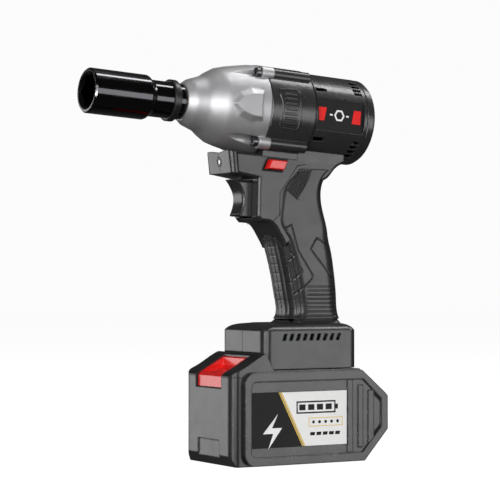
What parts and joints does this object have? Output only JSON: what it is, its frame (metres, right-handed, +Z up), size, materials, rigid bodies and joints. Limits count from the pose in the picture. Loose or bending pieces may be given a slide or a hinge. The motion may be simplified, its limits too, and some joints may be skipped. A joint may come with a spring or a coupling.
{
  "type": "cordless impact wrench",
  "caption": "Pistol-grip cordless impact wrench with a hex socket on a square drive, trigger, direction selector, lamp and slide-off battery that it stands on.",
  "frame": {"origin": "centre of the flat bottom of the battery, on the surface that the tool stands on", "axes": "+Z up, -X where the socket points, +X to the rear of the motor, -Y the side that shows in front when the socket points left"},
  "size_m": [0.2315, 0.076, 0.2904],
  "materials": {
    "black_steel": "gloss black oxide",
    "steel": "machined",
    "spring_steel": "drawn",
    "case_aluminium": "satin die cast",
    "cast_aluminium": "as cast",
    "black_plastic": "satin moulded",
    "grip_rubber": "soft touch",
    "battery_plastic": "satin moulded",
    "trigger_plastic": "satin moulded",
    "red_plastic": "gloss",
    "label_film": "printed film",
    "badge_film": "printed film",
    "clear_lens": "clear",
    "natural_plastic": "moulded",
    "copper": "enamelled wire",
    "brass": "stamped",
    "lamination": "stamped",
    "magnet": "nickel plated",
    "circuit_board": "solder mask",
    "cell_can": "shrink wrapped",
    "bronze": "sintered",
    "black_rubber": "moulded"
  },
  "bodies": {
    "tool": {"housing_left": "black_plastic", "housing_right": "black_plastic", "grip_skin_left": "grip_rubber", "grip_skin_right": "grip_rubber", "housing_screws": "steel", "rear_cover": "black_plastic", "badge_left": "badge_film", "badge_right": "badge_film", "gear_case": "case_aluminium", "gear_case_screws": "steel", "anvil_bushing": "bronze", "anvil_washer": "steel", "ring_gear": "steel", "motor_bracket": "cast_aluminium", "spindle_bearing": "steel", "front_motor_bearing": "steel", "rear_motor_bearing": "steel", "stator_core": "lamination", "windings": "copper", "stator_insulators": "natural_plastic", "sensor_board": "circuit_board", "trigger_switch": "black_plastic", "trigger_spring": "spring_steel", "lamp_lens": "clear_lens", "lamp_board": "circuit_board", "terminal_block": "natural_plastic", "terminal_blades": "brass", "controller_board": "circuit_board"},
    "anvil": {"anvil": "steel", "friction_ring": "spring_steel"},
    "socket": {"socket": "black_steel", "socket_ring": "black_rubber"},
    "spindle": {"spindle": "steel", "planet_pins": "steel", "hammer_spring": "spring_steel"},
    "spring_seat": {"thrust_balls": "steel", "thrust_washer": "steel"},
    "hammer": {"hammer": "steel"},
    "cam_balls": {"cam_balls": "steel"},
    "planet_1": {"planet_gear_1": "steel"},
    "planet_2": {"planet_gear_2": "steel"},
    "planet_3": {"planet_gear_3": "steel"},
    "rotor": {"rotor_shaft": "steel", "rotor_core": "lamination", "rotor_magnets": "magnet", "fan": "natural_plastic"},
    "trigger": {"trigger": "trigger_plastic"},
    "direction_button": {"direction_button": "red_plastic"},
    "battery": {"battery_tray": "battery_plastic", "battery_cover": "battery_plastic", "battery_screws": "steel", "battery_panel_left": "battery_plastic", "battery_panel_right": "battery_plastic", "battery_label_left": "label_film", "battery_label_right": "label_film", "cells": "cell_can", "cell_holder": "natural_plastic", "battery_board": "circuit_board", "latch_springs": "spring_steel"},
    "release_button": {"release_button": "red_plastic"}
  },
  "joints": [
    {"name": "output_spin", "type": "hinge", "parent": "tool", "child": "anvil", "pos_m": [-0.07922, 0, 0.25991], "axis": [0.9982, 0, -0.0593], "continuous": true},
    {"name": "socket_pull", "type": "slide", "parent": "anvil", "child": "socket", "axis": [-0.9982, 0, 0.0593], "range_m": [0, 0.02]},
    {"name": "spindle_spin", "type": "hinge", "parent": "tool", "child": "spindle", "pos_m": [-0.02931, 0, 0.25694], "axis": [0.9982, 0, -0.0593], "continuous": true},
    {"name": "rotor_spin", "type": "hinge", "parent": "tool", "child": "rotor", "pos_m": [0.02061, 0, 0.25398], "axis": [0.9982, 0, -0.0593], "continuous": true},
    {"name": "hammer_retract", "type": "slide", "parent": "spindle", "child": "spring_seat", "axis": [0.9982, 0, -0.0593], "range_m": [0, 0.009], "stiffness_N_per_m": 3000, "springref_m": -0.004, "deforming": ["hammer_spring"]},
    {"name": "hammer_cam", "type": "hinge", "parent": "spring_seat", "child": "hammer", "pos_m": [-0.04228, 0, 0.25771], "axis": [0.9982, 0, -0.0593], "range_deg": [0, 35]},
    {"name": "cam_ball_travel", "type": "slide", "parent": "spindle", "child": "cam_balls", "axis": [0.9982, 0, -0.0593], "range_m": [0, 0.0046]},
    {"name": "planet_1_spin", "type": "hinge", "parent": "spindle", "child": "planet_1", "pos_m": [-0.01433, 0.012, 0.25605], "axis": [0.9982, 0, -0.0593], "continuous": true},
    {"name": "planet_2_spin", "type": "hinge", "parent": "spindle", "child": "planet_2", "pos_m": [-0.01372, -0.006, 0.26643], "axis": [0.9982, 0, -0.0593], "continuous": true},
    {"name": "planet_3_spin", "type": "hinge", "parent": "spindle", "child": "planet_3", "pos_m": [-0.01495, -0.006, 0.24568], "axis": [0.9982, 0, -0.0593], "continuous": true},
    {"name": "trigger_pull", "type": "slide", "parent": "tool", "child": "trigger", "axis": [0.9982, 0, -0.0593], "range_m": [0, 0.0065], "stiffness_N_per_m": 900, "springref_m": -0.004, "deforming": ["trigger_spring"]},
    {"name": "direction_shift", "type": "slide", "parent": "tool", "child": "direction_button", "axis": [0, 1, 0], "range_m": [0, 0.0052]},
    {"name": "battery_slide", "type": "slide", "parent": "tool", "child": "battery", "axis": [-1, 0, 0], "range_m": [0, 0.075]},
    {"name": "latch_press", "type": "slide", "parent": "battery", "child": "release_button", "axis": [0, 0, -1], "range_m": [0, 0.003], "stiffness_N_per_m": 800, "springref_m": -0.003, "deforming": ["latch_springs"]}
  ],
  "couplings": [
    {"joint": "spindle_spin", "follows": "output_spin", "ratio": 1},
    {"joint": "rotor_spin", "follows": "output_spin", "ratio": 5},
    {"joint": "hammer_cam", "follows": "hammer_retract", "rad_per_m": 66},
    {"joint": "cam_ball_travel", "follows": "hammer_retract", "ratio": 0.5},
    {"joint": "planet_1_spin", "follows": "output_spin", "ratio": -2.6667},
    {"joint": "planet_2_spin", "follows": "output_spin", "ratio": -2.6667},
    {"joint": "planet_3_spin", "follows": "output_spin", "ratio": -2.6667}
  ]
}
